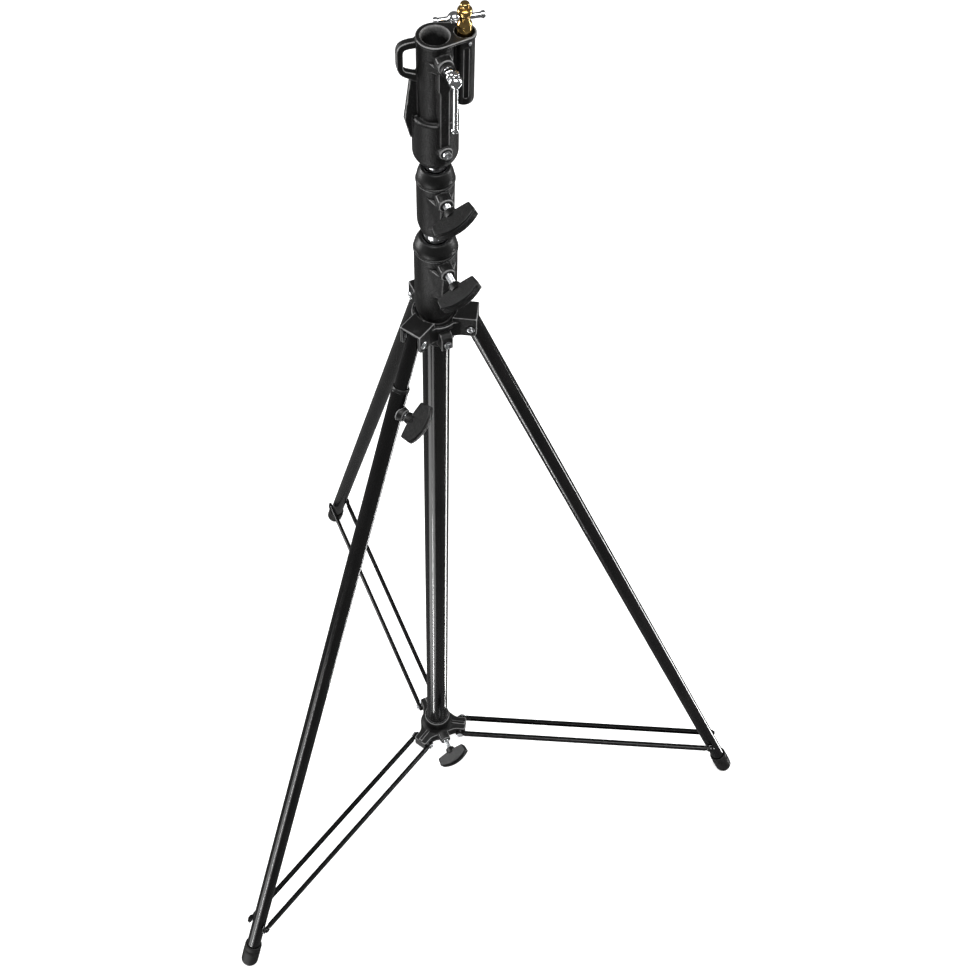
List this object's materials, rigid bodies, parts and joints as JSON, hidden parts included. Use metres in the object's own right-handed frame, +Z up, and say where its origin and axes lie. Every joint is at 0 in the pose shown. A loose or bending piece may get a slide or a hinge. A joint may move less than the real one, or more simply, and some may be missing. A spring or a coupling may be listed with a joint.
{
  "type": "three-section lighting stand",
  "caption": "Black steel lighting stand with braced folding legs, a levelling leg, chromed risers held by knob clamps, and a socket head with a brass stud.",
  "frame": {"origin": "middle of the footprint on the floor, z = 0 under the feet", "axes": "+Z up along the column; +X points along the leg called right; the column's axis is at x = -0.1277, y = 0"},
  "size_m": [0.7934, 0.912, 1.6221],
  "materials": {
    "black_casting": "die-cast, textured black powder coat",
    "gloss_black": "gloss black powder coat on steel",
    "chrome": "polished chrome plate on steel",
    "zinc": "bright zinc plate",
    "brass": "turned brass",
    "black_plastic": "fine moulded texture",
    "nylon": "natural nylon",
    "rubber": "matt black moulded rubber"
  },
  "bodies": {
    "column": {"column_tube": "gloss_black", "column_end_plug": "black_plastic", "lower_collar": "black_casting", "lower_collar_liner": "nylon", "lower_pad": "brass", "leg_hub": "black_casting", "hub_clamp_bolt": "zinc", "right_hub_pin": "zinc", "back_hub_pin": "zinc", "levelling_hub_pin": "zinc"},
    "lower_knob": {"lower_knob": "black_plastic", "lower_screw": "zinc"},
    "riser_2_guide": {"riser_2_guide": "nylon"},
    "riser_2": {"riser_2_tube": "chrome", "upper_collar": "black_casting", "upper_collar_liner": "nylon", "upper_pad": "brass"},
    "upper_knob": {"upper_knob": "black_plastic", "upper_screw": "zinc"},
    "riser_1_guide": {"riser_1_guide": "nylon"},
    "head": {"riser_1_tube": "chrome", "head_casting": "black_casting", "head_clamp_bolt": "zinc"},
    "stud": {"stud": "brass", "stud_guide_pin": "zinc"},
    "socket_lock": {"socket_lock_screw": "chrome"},
    "socket_lock_bar": {"socket_lock_bar": "chrome"},
    "stud_lock": {"stud_lock_screw": "chrome"},
    "stud_lock_bar": {"stud_lock_bar": "chrome"},
    "spider": {"spider": "black_casting", "spider_pad": "brass", "right_spider_pin": "zinc", "back_spider_pin": "zinc", "levelling_spider_pin": "zinc"},
    "spider_knob": {"spider_knob": "black_plastic", "spider_screw": "zinc"},
    "right_braces": {"right_brace_a": "gloss_black", "right_brace_b": "gloss_black"},
    "back_braces": {"back_brace_a": "gloss_black", "back_brace_b": "gloss_black"},
    "levelling_braces": {"levelling_brace_a": "gloss_black", "levelling_brace_b": "gloss_black"},
    "right_leg": {"right_leg_tube": "gloss_black", "right_leg_pin": "zinc", "right_foot": "rubber"},
    "back_leg": {"back_leg_tube": "gloss_black", "back_leg_pin": "zinc", "back_foot": "rubber"},
    "levelling_inner": {"levelling_inner_tube": "gloss_black"},
    "levelling_outer": {"levelling_outer_tube": "gloss_black", "levelling_cap": "black_plastic", "levelling_clamp_boss": "black_casting", "levelling_pad": "brass", "levelling_leg_pin": "zinc", "levelling_foot": "rubber"},
    "levelling_knob": {"levelling_knob": "black_plastic", "levelling_screw": "zinc"}
  },
  "joints": [
    {"name": "lower_knob_turn", "type": "hinge", "parent": "column", "child": "lower_knob", "pos_m": [-0.1277, 0, 1.26206], "axis": [0.5, -0.866, 0], "range_deg": [0, 360]},
    {"name": "riser_2_slide", "type": "slide", "parent": "column", "child": "riser_2_guide", "axis": [0, 0, 1], "range_m": [0, 0.82]},
    {"name": "riser_2_swivel", "type": "hinge", "parent": "riser_2_guide", "child": "riser_2", "pos_m": [-0.1277, 0, 1.30606], "axis": [0, 0, 1], "continuous": true},
    {"name": "upper_knob_turn", "type": "hinge", "parent": "riser_2", "child": "upper_knob", "pos_m": [-0.1277, 0, 1.37306], "axis": [0.4695, -0.8829, 0], "range_deg": [0, 360]},
    {"name": "riser_1_slide", "type": "slide", "parent": "riser_2", "child": "riser_1_guide", "axis": [0, 0, 1], "range_m": [0, 0.82]},
    {"name": "head_swivel", "type": "hinge", "parent": "riser_1_guide", "child": "head", "pos_m": [-0.1277, 0, 1.41406], "axis": [0, 0, 1], "continuous": true},
    {"name": "stud_slide", "type": "slide", "parent": "head", "child": "stud", "axis": [0, 0, 1], "range_m": [0, 0.06]},
    {"name": "socket_lock_turn", "type": "hinge", "parent": "head", "child": "socket_lock", "pos_m": [-0.1277, 0, 1.56706], "axis": [0.5, -0.866, 0], "range_deg": [0, 360]},
    {"name": "socket_bar_slide", "type": "slide", "parent": "socket_lock", "child": "socket_lock_bar", "axis": [0, 0, 1], "range_m": [0, 0.056]},
    {"name": "stud_lock_turn", "type": "hinge", "parent": "head", "child": "stud_lock", "pos_m": [-0.09857, 0.0106, 1.56506], "axis": [-0.342, 0.9397, 0], "range_deg": [0, 360]},
    {"name": "stud_bar_slide", "type": "slide", "parent": "stud_lock", "child": "stud_lock_bar", "axis": [0.9397, 0.342, 0], "range_m": [-0.0216, 0.0104]},
    {"name": "spider_slide", "type": "slide", "parent": "column", "child": "spider", "axis": [0, 0, 1], "range_m": [0, 0.39381]},
    {"name": "spider_knob_turn", "type": "hinge", "parent": "spider", "child": "spider_knob", "pos_m": [-0.1277, 0, 0.055], "axis": [0.5, -0.866, 0], "range_deg": [0, 360]},
    {"name": "right_brace_hinge", "type": "hinge", "parent": "spider", "child": "right_braces", "pos_m": [-0.0853, 0, 0.0504], "axis": [0, 1, 0], "range_deg": [0, 88.92]},
    {"name": "back_brace_hinge", "type": "hinge", "parent": "spider", "child": "back_braces", "pos_m": [-0.1489, 0.03672, 0.0504], "axis": [-0.866, -0.5, 0], "range_deg": [0, 88.92]},
    {"name": "levelling_brace_hinge", "type": "hinge", "parent": "spider", "child": "levelling_braces", "pos_m": [-0.1489, -0.03672, 0.0504], "axis": [0.866, -0.5, 0], "range_deg": [0, 88.92]},
    {"name": "right_leg_hinge", "type": "hinge", "parent": "column", "child": "right_leg", "pos_m": [-0.0827, 0, 1.14706], "axis": [0, 1, 0], "range_deg": [0, 19.84]},
    {"name": "back_leg_hinge", "type": "hinge", "parent": "column", "child": "back_leg", "pos_m": [-0.1502, 0.03897, 1.14706], "axis": [-0.866, -0.5, 0], "range_deg": [0, 19.84]},
    {"name": "levelling_leg_hinge", "type": "hinge", "parent": "column", "child": "levelling_inner", "pos_m": [-0.1502, -0.03897, 1.14706], "axis": [0.866, -0.5, 0], "range_deg": [0, 19.84]},
    {"name": "levelling_slide", "type": "slide", "parent": "levelling_inner", "child": "levelling_outer", "axis": [0.19, 0.329, 0.925], "range_m": [-0.06, 0.035]},
    {"name": "levelling_knob_turn", "type": "hinge", "parent": "levelling_outer", "child": "levelling_knob", "pos_m": [-0.17053, -0.07418, 1.04809], "axis": [0.866, -0.5, 0], "range_deg": [0, 360]}
  ],
  "couplings": [
    {"joint": "right_brace_hinge", "follows": "spider_slide", "rad_per_m": 3.9406},
    {"joint": "back_brace_hinge", "follows": "spider_slide", "rad_per_m": 3.9406},
    {"joint": "levelling_brace_hinge", "follows": "spider_slide", "rad_per_m": 3.9406},
    {"joint": "right_leg_hinge", "follows": "spider_slide", "rad_per_m": 0.87885},
    {"joint": "back_leg_hinge", "follows": "spider_slide", "rad_per_m": 0.87885},
    {"joint": "levelling_leg_hinge", "follows": "spider_slide", "rad_per_m": 0.87885}
  ]
}
